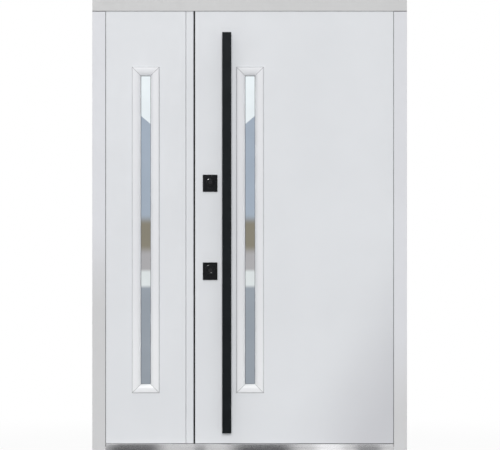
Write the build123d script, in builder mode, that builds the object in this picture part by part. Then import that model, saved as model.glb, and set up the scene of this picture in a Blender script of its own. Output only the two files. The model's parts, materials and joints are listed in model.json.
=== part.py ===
from build123d import *
import os

# Security door with a wide main leaf and a narrow side leaf, both of folded steel sheet
# on a filled core, in a pressed steel frame that stands on a stainless threshold.
# Millimetres. X runs to the right seen from outside, Y runs from outside to inside, Z is up.
# The origin is on the floor, in the middle of the threshold's underside.

# Frame
frame_width = 1415.0
frame_height = 2040.0
frame_face = 59.0
frame_sheet = 1.5
bend_radius = 2.0
stop_depth = 5.0
stop_overlap = 15.0
wall_lip = 20.0
corner_joint_gap = 0.9
sill_height = 35.0
sill_edge_radius = 2.0
sill_end_gap = 1.5
tread_groove_width = 5.0
tread_groove_depth = 2.0
tread_groove_pitch = 12.0
tread_groove_count = 3

# Anchor holes through the side of each jamb, in an outer and an inner pair
anchor_hole_radius = 5.5
anchor_low_z = 250.0
anchor_pitch = 500.0
anchor_count = 4

# Leaves
leaf_thickness = 50.0
leaf_sheet = 1.5
leaf_bend_radius = 2.5
core_clearance = 2.0
edge_gap = 5.0
seal_gap = 2.5
side_daylight = 396.2
meeting_gap = 7.0
lock_edge_bevel = 3.0

# Meeting stile of the side leaf, a tube with rounded edges
stile_width = 34.0
stile_sheet = 2.0
stile_edge_radius = 4.0
stile_joint_gap = 0.9

# Rubber seals
seal_contact_gap = 0.3
seal_lip = 0.9
seal_corner_gap = 0.5
meeting_seal_depth = 14.0
meeting_seal_setback = 6.0
meeting_seal_radius = 3.0

# Windows
window_width = 122.0
window_height = 1465.0
window_top_drop = 252.0
main_window_from_lock_edge = 247.2
bead_width = 38.0
bead_height = 10.0
bead_rim_radius = 6.0
bead_crest = 15.0
bead_drop = 3.0
bead_cover = 17.0
bead_fit = 1.0
mitre_gap = 0.9
glass_thickness = 12.0
glass_edge_clearance = 3.0

# Pull bar on its posts
bar_width = 41.0
bar_depth = 22.0
bar_length = 1800.0
bar_edge_chamfer = 1.5
bar_above_sill = 49.4
bar_from_lock_edge = 142.5
bar_stand_off = 40.0
post_radius = 9.0
post_end_distance = 200.0
post_count = 3

# Locks
backset = 67.5
upper_lock_z = 1211.3
lower_lock_z = 815.7
plate_drop = 4.5
plate_width = 66.0
upper_plate_height = 77.0
lower_plate_height = 79.0
plate_thickness = 10.0
plate_edge_chamfer = 1.5
boss_radius = 17.0
boss_height = 3.5
collar_radius = 24.0
collar_height = 2.5
dish_radius = 15.0
dish_depth = 3.5
plug_radius = 8.5
plug_clearance = 0.1
plug_proud = 1.0
key_slot_width = 1.8
key_slot_length = 9.0
key_slot_depth = 6.0

# Handle, lock plate and turn knobs on the inside
inside_plate_height = 215.0
lever_above_lock = 92.0
lever_rose_radius = 15.0
lever_rose_height = 4.0
lever_stand_off = 48.0
lever_neck_radius = 9.0
lever_length = 125.0
lever_height = 19.0
lever_thickness = 13.0
lever_edge_chamfer = 2.5
knob_base_radius = 15.0
knob_base_height = 6.0
knob_width = 10.0
knob_length = 30.0
knob_height = 18.0
knob_edge_chamfer = 2.5

# Lock forend in the edge of the main leaf, and the strike plate across from it
forend_width = 22.0
forend_thickness = 3.0
forend_length = 760.0
forend_end_margin = 60.0
bolt_radius = 9.0
bolt_length = 40.0
bolt_clearance = 0.4
bolt_pitch = 38.0
flat_bolt_height = 30.0
flat_bolt_thickness = 12.0
strike_hole_clearance = 1.0

# Flush bolts let into the edge of the meeting stile, one near each end
flush_bolt_width = 20.0
flush_bolt_length = 190.0
flush_bolt_end_distance = 25.0
flush_lever_width = 10.0
flush_lever_length = 70.0
flush_lever_clearance = 0.4

# Lift-off hinges on the inside face
hinge_low_z = 250.0
hinge_top_drop = 280.0
hinge_count = 3
hinge_offset = 10.0
knuckle_radius = 9.0
knuckle_height = 70.0
knuckle_gap = 0.3
hinge_plate_width = 40.0
hinge_plate_thickness = 4.0
hinge_plate_corner = 6.0
pin_radius = 6.0
pin_clearance = 0.2
pin_length = 55.0

# Places that follow from the sizes above
frame_depth = stop_depth + seal_gap + leaf_thickness
outer_y = -frame_depth / 2
inner_y = frame_depth / 2
stop_y = outer_y + stop_depth
leaf_outer_y = stop_y + seal_gap
leaf_mid_y = leaf_outer_y + leaf_thickness / 2
frame_left_x = -frame_width / 2
daylight_half = frame_width / 2 - frame_face
pocket_half = daylight_half + stop_overlap
leaf_edge_x = pocket_half - edge_gap
head_z = frame_height - frame_face
pocket_top_z = head_z + stop_overlap
leaf_top_z = pocket_top_z - edge_gap
leaf_bottom_z = sill_height - stop_overlap
tread_z = leaf_bottom_z - edge_gap
leaf_height = leaf_top_z - leaf_bottom_z
leaf_mid_z = (leaf_top_z + leaf_bottom_z) / 2
stile_edge_x = side_daylight - daylight_half
stile_left_x = stile_edge_x - stile_width
lock_edge_x = stile_edge_x + meeting_gap
side_window_x = (stile_left_x - daylight_half) / 2
main_window_x = lock_edge_x + main_window_from_lock_edge
lock_x = lock_edge_x + backset
bar_x = lock_edge_x + bar_from_lock_edge
window_mid_z = head_z - window_top_drop - window_height / 2
bar_mid_z = sill_height + bar_above_sill + bar_length / 2
forend_mid_z = (upper_lock_z + lower_lock_z) / 2
lever_z = lower_lock_z + lever_above_lock
hinge_x = pocket_half - edge_gap / 2
hinge_y = inner_y + hinge_offset
cutout_width = window_width - 2 * bead_cover
cutout_height = window_height - 2 * bead_cover
glass_outer_depth = (leaf_thickness - glass_thickness) / 2

os.makedirs("parts", exist_ok=True)


def save(part, name):
    part.label = name
    export_step(part, f"parts/{name}.step")


# Pressed steel frame: one folded profile for both jambs and the head. Local x runs from the wall
# to the opening and local y from outside to inside.
left_plane = Plane(origin=(frame_left_x, 0, 0), x_dir=(1, 0, 0), z_dir=(0, 0, 1))
right_plane = Plane(origin=(-frame_left_x, 0, 0), x_dir=(-1, 0, 0), z_dir=(0, 0, -1))
head_plane = Plane(origin=(0, 0, frame_height), x_dir=(0, 0, -1), z_dir=(1, 0, 0))
sill_plane = Plane(origin=(0, 0, sill_height - frame_face), x_dir=(0, 0, 1), z_dir=(-1, 0, 0))


def frame_profile(plane):
    """Folded sheet, rounded where it shows and left sharp inside its bends."""
    rebate = frame_face - stop_overlap
    with BuildSketch(plane) as profile:
        with BuildLine():
            shown_side = FilletPolyline(
                (0, outer_y + wall_lip),
                (0, outer_y),
                (frame_face, outer_y),
                (frame_face, stop_y),
                (rebate, stop_y),
                (rebate, inner_y),
                (0, inner_y),
                (0, inner_y - wall_lip),
                radius=bend_radius,
            )
            Polyline(
                shown_side @ 1,
                (frame_sheet, inner_y - wall_lip),
                (frame_sheet, inner_y - frame_sheet),
                (rebate - frame_sheet, inner_y - frame_sheet),
                (rebate - frame_sheet, stop_y - frame_sheet),
                (frame_face - frame_sheet, stop_y - frame_sheet),
                (frame_face - frame_sheet, outer_y + frame_sheet),
                (frame_sheet, outer_y + frame_sheet),
                (frame_sheet, outer_y + wall_lip),
                shown_side @ 0,
            )
        make_face()
    return profile.sketch


def make_jamb(plane, side, name):
    cope_depth = stop_depth + bend_radius
    with BuildPart() as jamb:
        extrude(frame_profile(plane), amount=pocket_top_z, dir=(0, 0, 1))
        # The front of the jamb is coped to stand under the face of the head.
        cope_z = head_z - corner_joint_gap
        with Locations((side * (frame_width - frame_face) / 2, outer_y + cope_depth / 2, cope_z)):
            Box(
                frame_face,
                cope_depth,
                2 * stop_overlap,
                align=(Align.CENTER, Align.CENTER, Align.MIN),
                mode=Mode.SUBTRACT,
            )
        anchor_plane = Plane(
            origin=(side * pocket_half, leaf_mid_y, 0), x_dir=(0, 1, 0), z_dir=(1, 0, 0)
        )
        with BuildSketch(anchor_plane):
            anchor_mid_z = anchor_low_z + anchor_pitch * (anchor_count - 1) / 2
            with Locations((0, anchor_mid_z)):
                with GridLocations(1, anchor_pitch, 1, anchor_count):
                    Circle(anchor_hole_radius)
        extrude(amount=2 * frame_sheet, both=True, mode=Mode.SUBTRACT)
    save(jamb.part, name)


make_jamb(left_plane, -1, "left_jamb")
make_jamb(right_plane, 1, "right_jamb")

with BuildPart() as head:
    extrude(frame_profile(head_plane.offset(-frame_width / 2)), amount=frame_width)
save(head.part, "head")

# Threshold: an upstand in line with the stops, and a low tread that runs into the pockets of the jambs.
with BuildPart() as threshold:
    upstand_half = daylight_half - sill_end_gap
    with BuildSketch(Plane.YZ.offset(-upstand_half)):
        with BuildLine():
            Polyline(
                (outer_y, 0),
                (inner_y, 0),
                (inner_y, tread_z),
                (stop_y, tread_z),
                (stop_y, sill_height),
                (outer_y, sill_height),
                close=True,
            )
        make_face()
    extrude(amount=2 * upstand_half)
    upstand_edges = threshold.edges().filter_by(Axis.X).group_by(Axis.Z)[-1]
    fillet(upstand_edges, sill_edge_radius)
    tread_start_y = stop_y + bend_radius
    with Locations((0, (tread_start_y + inner_y) / 2, 0)):
        Box(
            2 * pocket_half,
            inner_y - tread_start_y,
            tread_z,
            align=(Align.CENTER, Align.CENTER, Align.MIN),
        )
    with BuildSketch(Plane.XY.offset(tread_z)):
        with Locations((0, (tread_start_y + inner_y) / 2)):
            with GridLocations(1, tread_groove_pitch, 1, tread_groove_count):
                Rectangle(2 * pocket_half, tread_groove_width)
    extrude(amount=-tread_groove_depth, mode=Mode.SUBTRACT)
save(threshold.part, "threshold")


# Rubber seals on the back of the stops, with a thin lip that shows past the edge of the stop. The
# one behind the sill ends below its rounded edge.
def seal_profile(plane, lip):
    foot_start = frame_face - stop_overlap + bend_radius
    foot_end = frame_face - bend_radius
    contact_y = leaf_outer_y - seal_contact_gap
    lip_y = (stop_y + contact_y) / 2
    with BuildSketch(plane) as profile:
        with BuildLine():
            Polyline(
                (foot_start, stop_y),
                (foot_end, stop_y),
                (frame_face + lip, lip_y),
                (frame_face + lip, contact_y),
                (foot_start, contact_y),
                close=True,
            )
        make_face()
    return profile.sketch


jamb_seal_length = head_z - seal_lip - seal_corner_gap - sill_height
seal_half = pocket_half - bend_radius
with BuildPart() as frame_seal:
    for plane, low_z in ((left_plane, sill_height), (right_plane, -sill_height)):
        extrude(seal_profile(plane.offset(low_z), seal_lip), amount=jamb_seal_length, dir=(0, 0, 1))
    for plane, lip in ((head_plane, seal_lip), (sill_plane, -sill_edge_radius)):
        extrude(seal_profile(plane.offset(-seal_half), lip), amount=2 * seal_half)
save(frame_seal.part, "frame_seal")


# Leaves. The outer skin is a pan with its edges turned back, the inner skin is a flat sheet that
# closes it, and the core fills the space between them.
def window_outline(window_x):
    with BuildSketch(Plane.XZ.offset(-inner_y)) as outline:
        with Locations((window_x, window_mid_z)):
            Rectangle(cutout_width, cutout_height)
    return outline.sketch


def leaf_outline(inset, low_y, high_y, left_x, right_x, left_bevel):
    """Plan of a leaf, inset from its edges, between two depths. The left edge may slope."""
    with BuildSketch(Plane.XY.offset(leaf_bottom_z + inset)) as outline:
        with BuildLine():
            Polyline(
                (left_x + inset + left_bevel * (low_y - leaf_outer_y) / leaf_thickness, low_y),
                (right_x - inset, low_y),
                (right_x - inset, high_y),
                (left_x + inset + left_bevel * (high_y - leaf_outer_y) / leaf_thickness, high_y),
                close=True,
            )
        make_face()
    return outline.sketch


def make_outer_skin(left_x, right_x, left_bevel, window_x):
    with BuildPart() as skin:
        plan = leaf_outline(0, leaf_outer_y, inner_y - leaf_sheet, left_x, right_x, left_bevel)
        extrude(plan, amount=leaf_height, dir=(0, 0, 1))
        front_edges = skin.faces().sort_by(Axis.Y)[0].edges()
        fillet(front_edges, leaf_bend_radius)
        open_back = skin.faces().sort_by(Axis.Y)[-1]
        offset(amount=-leaf_sheet, openings=open_back)
        extrude(window_outline(window_x), amount=frame_depth, mode=Mode.SUBTRACT)
    return skin.part


def make_inner_skin(left_x, right_x, left_bevel, window_x):
    with BuildPart() as skin:
        plan = leaf_outline(0, inner_y - leaf_sheet, inner_y, left_x, right_x, left_bevel)
        extrude(plan, amount=leaf_height, dir=(0, 0, 1))
        extrude(window_outline(window_x), amount=frame_depth, mode=Mode.SUBTRACT)
    return skin.part


def make_core(left_x, right_x, left_bevel, window_x):
    inset = leaf_sheet + core_clearance
    low_y = leaf_outer_y + leaf_sheet
    high_y = inner_y - leaf_sheet
    with BuildPart() as core:
        plan = leaf_outline(inset, low_y, high_y, left_x, right_x, left_bevel)
        extrude(plan, amount=leaf_height - 2 * inset, dir=(0, 0, 1))
        extrude(window_outline(window_x), amount=frame_depth, mode=Mode.SUBTRACT)
    return core.part


# Lock line in the sloping edge of the main leaf. Local x runs up and local z points out of the edge.
edge_run = Vector(lock_edge_bevel, leaf_thickness, 0).normalized()
lock_edge_plane = Plane(
    origin=(lock_edge_x + lock_edge_bevel / 2, leaf_mid_y, forend_mid_z),
    x_dir=(0, 0, 1),
    z_dir=Vector(0, 0, 1).cross(edge_run),
)
round_bolt_places = [(lower_lock_z - forend_mid_z + step * bolt_pitch, 0) for step in (-1, 0, 1)]
flat_bolt_places = [(z - forend_mid_z, 0) for z in (lever_z, upper_lock_z)]


def bolt_outlines(plane, clearance):
    """The lower lock's round bolts, the latch that the lever draws back, and the upper lock's bolt."""
    with BuildSketch(plane) as outlines:
        with Locations(*round_bolt_places):
            Circle(bolt_radius + clearance)
        with Locations(*flat_bolt_places):
            Rectangle(flat_bolt_height + 2 * clearance, flat_bolt_thickness + 2 * clearance)
    return outlines.sketch


main_leaf = (lock_edge_x, leaf_edge_x, lock_edge_bevel, main_window_x)
side_leaf = (-leaf_edge_x, stile_left_x, 0, side_window_x)

with BuildPart() as main_outer_skin:
    add(make_outer_skin(*main_leaf))
    with BuildSketch(lock_edge_plane):
        Rectangle(forend_length, forend_width)
    extrude(amount=-forend_thickness, mode=Mode.SUBTRACT)
save(main_outer_skin.part, "main_outer_skin")
save(make_inner_skin(*main_leaf), "main_inner_skin")

with BuildPart() as main_core:
    add(make_core(*main_leaf))
    # One mortise behind the forend takes the cases of both locks.
    with BuildSketch(lock_edge_plane):
        Rectangle(forend_length - 2 * forend_end_margin, 2 * (bolt_radius + bolt_clearance))
    extrude(amount=-bolt_length - bolt_clearance, mode=Mode.SUBTRACT)
save(main_core.part, "main_core")

side_pan = (-leaf_edge_x, stile_left_x - stile_joint_gap, 0, side_window_x)
save(make_outer_skin(*side_pan), "side_outer_skin")
save(make_inner_skin(*side_leaf), "side_inner_skin")
save(make_core(*side_leaf), "side_core")

with BuildPart() as lock_forend:
    with BuildSketch(lock_edge_plane):
        Rectangle(forend_length, forend_width)
        add(bolt_outlines(Plane.XY, bolt_clearance), mode=Mode.SUBTRACT)
    extrude(amount=-forend_thickness)
save(lock_forend.part, "lock_forend")

with BuildPart() as lock_bolts:
    extrude(bolt_outlines(lock_edge_plane, 0), amount=-bolt_length)
save(lock_bolts.part, "lock_bolts")

# Meeting stile: a tube that closes the edge of the side leaf, slotted for the strike plate.
strike_plane = Plane(
    origin=(stile_edge_x, leaf_mid_y, forend_mid_z), x_dir=(0, 0, 1), z_dir=(1, 0, 0)
)
stile_mid_x = stile_edge_x - stile_width / 2
flush_bolt_reach = leaf_height / 2 - flush_bolt_end_distance - flush_bolt_length / 2
flush_bolt_places = [(leaf_mid_z - forend_mid_z + end * flush_bolt_reach, 0) for end in (-1, 1)]
with BuildPart() as meeting_stile:
    with BuildSketch(Plane.XY.offset(leaf_bottom_z)):
        with Locations((stile_mid_x, leaf_mid_y)):
            RectangleRounded(stile_width, leaf_thickness, stile_edge_radius)
            RectangleRounded(
                stile_width - 2 * stile_sheet,
                leaf_thickness - 2 * stile_sheet,
                stile_edge_radius - stile_sheet,
                mode=Mode.SUBTRACT,
            )
    extrude(amount=leaf_height)
    with BuildSketch(strike_plane):
        Rectangle(forend_length, forend_width)
        with Locations(*flush_bolt_places):
            Rectangle(flush_bolt_length, flush_bolt_width)
    extrude(amount=-stile_sheet, mode=Mode.SUBTRACT)
save(meeting_stile.part, "meeting_stile")

with BuildPart() as strike_plate:
    with BuildSketch(strike_plane):
        Rectangle(forend_length, forend_width)
        add(bolt_outlines(Plane.XY, strike_hole_clearance), mode=Mode.SUBTRACT)
    extrude(amount=-stile_sheet)
save(strike_plate.part, "strike_plate")

with BuildPart() as flush_bolts:
    with BuildSketch(strike_plane):
        with Locations(*flush_bolt_places):
            Rectangle(flush_bolt_length, flush_bolt_width)
            Rectangle(
                flush_lever_length + 2 * flush_lever_clearance,
                flush_lever_width + 2 * flush_lever_clearance,
                mode=Mode.SUBTRACT,
            )
            Rectangle(flush_lever_length, flush_lever_width)
    extrude(amount=-stile_sheet)
save(flush_bolts.part, "flush_bolts")

# Bulb seal on the edge of the stile, which fills the gap between the two leaves.
seal_front_y = leaf_outer_y + stile_edge_radius + meeting_seal_setback
with BuildPart() as meeting_seal:
    with BuildSketch(Plane.XY.offset(leaf_bottom_z)):
        with Locations((stile_edge_x, seal_front_y)):
            Rectangle(
                meeting_gap - seal_contact_gap, meeting_seal_depth, align=(Align.MIN, Align.MIN)
            )
    extrude(amount=leaf_height)
    fillet(meeting_seal.edges().filter_by(Axis.Z).group_by(Axis.X)[-1], meeting_seal_radius)
save(meeting_seal.part, "meeting_seal")


# Window beads: four mitred bars, rounded at the rim and rolling down to the glass.
def bead_profile(plane):
    """Local x runs from the rim of the bead to the glass, local y stands up from the leaf."""
    with BuildSketch(plane) as profile:
        with BuildLine():
            foot = bead_cover + bead_fit
            Polyline((foot, 0), (0, 0), (0, bead_height - bead_rim_radius))
            JernArc(
                start=(0, bead_height - bead_rim_radius),
                tangent=(0, 1),
                radius=bead_rim_radius,
                arc_size=-90,
            )
            Line((bead_rim_radius, bead_height), (bead_crest, bead_height))
            TangentArc((bead_crest, bead_height), (bead_width, -bead_drop), tangent=(1, 0))
            Polyline(
                (bead_width, -bead_drop),
                (bead_width, -glass_outer_depth),
                (foot, -glass_outer_depth),
                (foot, 0),
            )
        make_face()
    return profile.sketch


def make_bead_bar(middle, inward, face_y, outward, length):
    """One bar, with inward pointing at the glass and outward away from the leaf."""
    along = inward.cross(outward)
    with BuildPart() as bar:
        start = middle + Vector(0, face_y, 0) - along * (length / 2)
        extrude(bead_profile(Plane(origin=start, x_dir=inward, z_dir=along)), amount=length)
        for end in (along, -along):
            corner = middle + Vector(0, face_y, 0) + end * (length / 2)
            normal = (end + inward).normalized()
            mitre = Plane(origin=corner - normal * (mitre_gap / 2), z_dir=normal)
            split(bisect_by=mitre, keep=Keep.BOTTOM)
    return bar.part


def make_bead_frame(window_x, face_y, outward, name):
    centre = Vector(window_x, 0, window_mid_z)
    right = Vector(1, 0, 0)
    up = Vector(0, 0, 1)
    half_width, half_height = window_width / 2, window_height / 2
    bars = [
        make_bead_bar(centre - right * half_width, right, face_y, outward, window_height),
        make_bead_bar(centre + right * half_width, -right, face_y, outward, window_height),
        make_bead_bar(centre + up * half_height, -up, face_y, outward, window_width),
        make_bead_bar(centre - up * half_height, up, face_y, outward, window_width),
    ]
    save(Compound([solid for bar in bars for solid in bar.solids()]), name)


def make_glass(window_x, name):
    with BuildPart() as glass:
        with Locations((window_x, leaf_mid_y, window_mid_z)):
            Box(
                cutout_width - 2 * glass_edge_clearance,
                glass_thickness,
                cutout_height - 2 * glass_edge_clearance,
            )
    save(glass.part, name)


for leaf_name, window_x in (("main", main_window_x), ("side", side_window_x)):
    make_bead_frame(window_x, leaf_outer_y, Vector(0, -1, 0), f"{leaf_name}_outer_bead")
    make_bead_frame(window_x, inner_y, Vector(0, 1, 0), f"{leaf_name}_inner_bead")
    make_glass(window_x, f"{leaf_name}_glass")

# Pull bar: a flat bar the height of the leaf, held off it by round posts.
bar_back_y = leaf_outer_y - bar_stand_off
with BuildPart() as pull_bar:
    with Locations((bar_x, bar_back_y - bar_depth / 2, bar_mid_z)):
        Box(bar_width, bar_depth, bar_length)
    chamfer(pull_bar.edges(), bar_edge_chamfer)
save(pull_bar.part, "pull_bar")

post_pitch = (bar_length - 2 * post_end_distance) / (post_count - 1)
with BuildPart() as pull_bar_posts:
    with BuildSketch(Plane.XZ.offset(-leaf_outer_y)):
        with Locations((bar_x, bar_mid_z)):
            with GridLocations(1, post_pitch, 1, post_count):
                Circle(post_radius)
    extrude(amount=bar_stand_off)
save(pull_bar_posts.part, "pull_bar_posts")

# Lock plates on the outside, each with a bored seat for its key plug. Local y is up.
outside_face = Plane.XZ.offset(-leaf_outer_y)
inside_face = Plane(origin=(0, inner_y, 0), x_dir=(-1, 0, 0), z_dir=(0, 1, 0))


def make_plate(plane, x, z, height):
    """Flat plate with all the edges broken that don't lie on the leaf."""
    with BuildPart() as plate:
        with BuildSketch(plane):
            with Locations((x, z)):
                Rectangle(plate_width, height)
        extrude(amount=plate_thickness)
        on_leaf = plate.edges().filter_by_position(Axis.Y, plane.origin.Y, plane.origin.Y)
        chamfer(plate.edges() - on_leaf, plate_edge_chamfer)
    return plate.part


def lock_circle(z, radius, height=0):
    """Circle about the axis of a lock, at a height over the leaf."""
    with BuildSketch(outside_face.offset(height)) as outline:
        with Locations((lock_x, z)):
            Circle(radius)
    return outline.sketch


boss_top = plate_thickness + boss_height
collar_top = plate_thickness + collar_height
dish_floor = collar_top - dish_depth
bore_radius = plug_radius + plug_clearance

with BuildPart() as upper_lock_plate:
    add(make_plate(outside_face, lock_x, upper_lock_z - plate_drop, upper_plate_height))
    extrude(lock_circle(upper_lock_z, boss_radius), amount=boss_top)
    extrude(lock_circle(upper_lock_z, bore_radius), amount=boss_top, mode=Mode.SUBTRACT)
save(upper_lock_plate.part, "upper_lock_plate")

with BuildPart() as lower_lock_plate:
    add(make_plate(outside_face, lock_x, lower_lock_z - plate_drop, lower_plate_height))
    extrude(lock_circle(lower_lock_z, collar_radius), amount=collar_top)
    # A shallow dish leads the key to the plug.
    extrude(lock_circle(lower_lock_z, dish_radius, dish_floor), amount=dish_depth, mode=Mode.SUBTRACT)
    extrude(lock_circle(lower_lock_z, bore_radius), amount=collar_top, mode=Mode.SUBTRACT)
save(lower_lock_plate.part, "lower_lock_plate")

key_plug_lengths = ((upper_lock_z, boss_top + plug_proud), (lower_lock_z, dish_floor + plug_proud))
with BuildPart() as key_plugs:
    for z, length in key_plug_lengths:
        extrude(lock_circle(z, plug_radius), amount=length)
        with BuildSketch(outside_face.offset(length)):
            with Locations((lock_x, z)):
                Rectangle(key_slot_width, key_slot_length)
        extrude(amount=-key_slot_depth, mode=Mode.SUBTRACT)
save(key_plugs.part, "key_plugs")

# Inside furniture. The local x of the inside face runs the other way, so places are mirrored.
inside_plate_z = (lever_z + lower_lock_z) / 2
with BuildPart() as inside_lock_plate:
    add(make_plate(inside_face, -lock_x, inside_plate_z, inside_plate_height))
    with BuildSketch(inside_face.offset(plate_thickness)):
        with Locations((-lock_x, lever_z)):
            Circle(lever_rose_radius)
    extrude(amount=lever_rose_height)
save(inside_lock_plate.part, "inside_lock_plate")

inside_upper_plate = make_plate(inside_face, -lock_x, upper_lock_z - plate_drop, upper_plate_height)
save(inside_upper_plate, "inside_upper_plate")

# Lever: a flat grip on a round neck.
lever_back = lever_stand_off - lever_thickness
lever_start_x = lock_x - lever_height / 2
with BuildPart() as inside_lever:
    with Locations((lever_start_x, inner_y + plate_thickness + lever_back, lever_z)):
        Box(
            lever_length,
            lever_thickness,
            lever_height,
            align=(Align.MIN, Align.MIN, Align.CENTER),
        )
    chamfer(inside_lever.edges(), lever_edge_chamfer)
    with BuildSketch(inside_face.offset(plate_thickness + lever_rose_height)):
        with Locations((-lock_x, lever_z)):
            Circle(lever_neck_radius)
    extrude(amount=lever_stand_off - lever_rose_height - lever_thickness / 2)
save(inside_lever.part, "inside_lever")


def make_turn_knob(z):
    seat = inside_face.offset(plate_thickness)
    with BuildPart() as knob:
        with BuildSketch(seat.offset(knob_base_height)):
            with Locations((-lock_x, z)):
                Rectangle(knob_width, knob_length)
        extrude(amount=knob_height)
        chamfer(knob.edges() - knob.edges().group_by(Axis.Y)[0], knob_edge_chamfer)
        with BuildSketch(seat):
            with Locations((-lock_x, z)):
                Circle(knob_base_radius)
        extrude(amount=knob_base_height)
    return knob.part


save(Compound([make_turn_knob(z).solid() for z in (upper_lock_z, lower_lock_z)]), "turn_knobs")


# Lift-off hinges. The lower knuckle stands on the jamb and carries the pin, the upper one hangs
# on it and is fixed to the leaf. The side is -1 at the left jamb and 1 at the right one.
def hinge_plate(side, low_z, direction):
    """Plate that reaches from the pin to the side that direction gives, with its free corners cut off."""
    mid_x = side * hinge_x + direction * hinge_plate_width / 2
    free_end = 0 if direction > 0 else -1
    with BuildSketch(inside_face) as outline:
        with Locations((-mid_x, low_z + knuckle_height / 2)):
            Rectangle(hinge_plate_width, knuckle_height)
        chamfer(outline.vertices().group_by(Axis.X)[free_end], hinge_plate_corner)
    return outline.sketch


def make_frame_half(side, z):
    low_z = z - knuckle_height - knuckle_gap / 2
    with BuildPart() as half:
        with Locations((side * hinge_x, hinge_y, low_z)):
            Cylinder(knuckle_radius, knuckle_height, align=upright)
            Cylinder(pin_radius, knuckle_height + pin_length, align=upright)
        extrude(hinge_plate(side, low_z, side), amount=hinge_plate_thickness)
    return half.part


def make_leaf_half(side, z):
    low_z = z + knuckle_gap / 2
    with BuildPart() as half:
        with Locations((side * hinge_x, hinge_y, low_z)):
            Cylinder(knuckle_radius, knuckle_height, align=upright)
        extrude(hinge_plate(side, low_z, -side), amount=hinge_plate_thickness)
        with Locations((side * hinge_x, hinge_y, low_z)):
            Cylinder(
                pin_radius + pin_clearance,
                pin_length + knuckle_gap,
                align=upright,
                mode=Mode.SUBTRACT,
            )
    return half.part


upright = (Align.CENTER, Align.CENTER, Align.MIN)
hinge_pitch = (frame_height - hinge_top_drop - hinge_low_z) / (hinge_count - 1)
hinge_heights = [hinge_low_z + step * hinge_pitch for step in range(hinge_count)]
for leaf_name, side in (("side", -1), ("main", 1)):
    frame_halves = [make_frame_half(side, z).solid() for z in hinge_heights]
    save(Compound(frame_halves), f"{leaf_name}_hinge_frame_halves")
    leaf_halves = [make_leaf_half(side, z).solid() for z in hinge_heights]
    save(Compound(leaf_halves), f"{leaf_name}_hinge_leaf_halves")
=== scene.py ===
import json
import math

import bmesh
import bpy
from mathutils import Matrix, Vector


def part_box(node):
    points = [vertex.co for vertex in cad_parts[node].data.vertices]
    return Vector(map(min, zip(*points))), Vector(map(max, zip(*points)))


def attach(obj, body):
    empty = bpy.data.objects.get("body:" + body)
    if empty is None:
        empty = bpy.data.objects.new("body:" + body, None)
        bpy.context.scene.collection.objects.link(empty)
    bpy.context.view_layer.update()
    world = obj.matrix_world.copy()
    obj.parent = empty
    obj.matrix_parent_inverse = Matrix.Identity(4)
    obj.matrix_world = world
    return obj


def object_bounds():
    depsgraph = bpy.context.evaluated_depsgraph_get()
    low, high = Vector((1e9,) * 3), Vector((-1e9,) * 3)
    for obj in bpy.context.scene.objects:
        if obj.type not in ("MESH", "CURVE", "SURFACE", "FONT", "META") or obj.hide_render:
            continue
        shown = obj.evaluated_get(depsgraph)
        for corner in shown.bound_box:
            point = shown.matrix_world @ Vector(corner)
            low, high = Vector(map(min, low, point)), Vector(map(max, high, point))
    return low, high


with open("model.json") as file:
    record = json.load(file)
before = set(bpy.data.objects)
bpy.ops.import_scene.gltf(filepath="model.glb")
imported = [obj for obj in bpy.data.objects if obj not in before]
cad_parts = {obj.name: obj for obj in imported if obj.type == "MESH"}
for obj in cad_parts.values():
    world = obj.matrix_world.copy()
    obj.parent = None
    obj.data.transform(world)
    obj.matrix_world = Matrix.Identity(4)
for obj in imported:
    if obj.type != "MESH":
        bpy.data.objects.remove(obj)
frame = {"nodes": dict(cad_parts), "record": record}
cad_low, cad_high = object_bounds()
nodes = frame["nodes"]

# Door frame. Two jambs and a head folded from 1.5 mm steel sheet, coped and welded at the corners
# and powder coated in satin white. Painted shade makes the head a shade greyer than the jambs,
# and greys the jambs off towards the floor, the left one higher up than the right one.


def screen_tone(red, green, blue):
    """A colour as it should look on screen, in steps of 255, turned into the light it sends back."""
    tones = []
    for step in (red, green, blue):
        share = step / 255
        tones.append(share / 12.92 if share <= 0.04045 else ((share + 0.055) / 1.055) ** 2.4)
    return tuple(tones)


def new_finish(name, colour, roughness, metallic=0.0, specular=0.5):
    """A finish with the plain values on its shader, ready for the texture of its own."""
    finish = bpy.data.materials.new(name)
    finish.use_nodes = True
    shader = finish.node_tree.nodes["Principled BSDF"]
    shader.inputs["Base Color"].default_value = (*colour, 1.0)
    shader.inputs["Roughness"].default_value = roughness
    shader.inputs["Metallic"].default_value = metallic
    shader.inputs["Specular IOR Level"].default_value = specular
    return finish


def shader_of(finish):
    return finish.node_tree.nodes["Principled BSDF"]


def place_on_piece(finish):
    """Metres along the piece's own axes, which move with it."""
    return finish.node_tree.nodes.new("ShaderNodeTexCoord").outputs["Object"]


def grain(finish, waves_per_metre, along=(1.0, 1.0, 1.0), detail=2.0):
    """Noise fixed to the piece. A small value in along draws it out in that direction."""
    tree = finish.node_tree
    stretch = tree.nodes.new("ShaderNodeVectorMath")
    stretch.operation = "MULTIPLY"
    stretch.inputs[1].default_value = along
    tree.links.new(place_on_piece(finish), stretch.inputs[0])
    noise = tree.nodes.new("ShaderNodeTexNoise")
    noise.inputs["Scale"].default_value = waves_per_metre
    noise.inputs["Detail"].default_value = detail
    tree.links.new(stretch.outputs["Vector"], noise.inputs["Vector"])
    return noise.outputs["Fac"]


def spread(finish, value, low, high, start=0.3, end=0.7):
    """Carries a value between start and end over to the range from low to high, with soft ends."""
    tree = finish.node_tree
    carry = tree.nodes.new("ShaderNodeMapRange")
    carry.interpolation_type = "SMOOTHSTEP"
    carry.inputs["From Min"].default_value = start
    carry.inputs["From Max"].default_value = end
    carry.inputs["To Min"].default_value = low
    carry.inputs["To Max"].default_value = high
    tree.links.new(value, carry.inputs["Value"])
    return carry.outputs["Result"]


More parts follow.
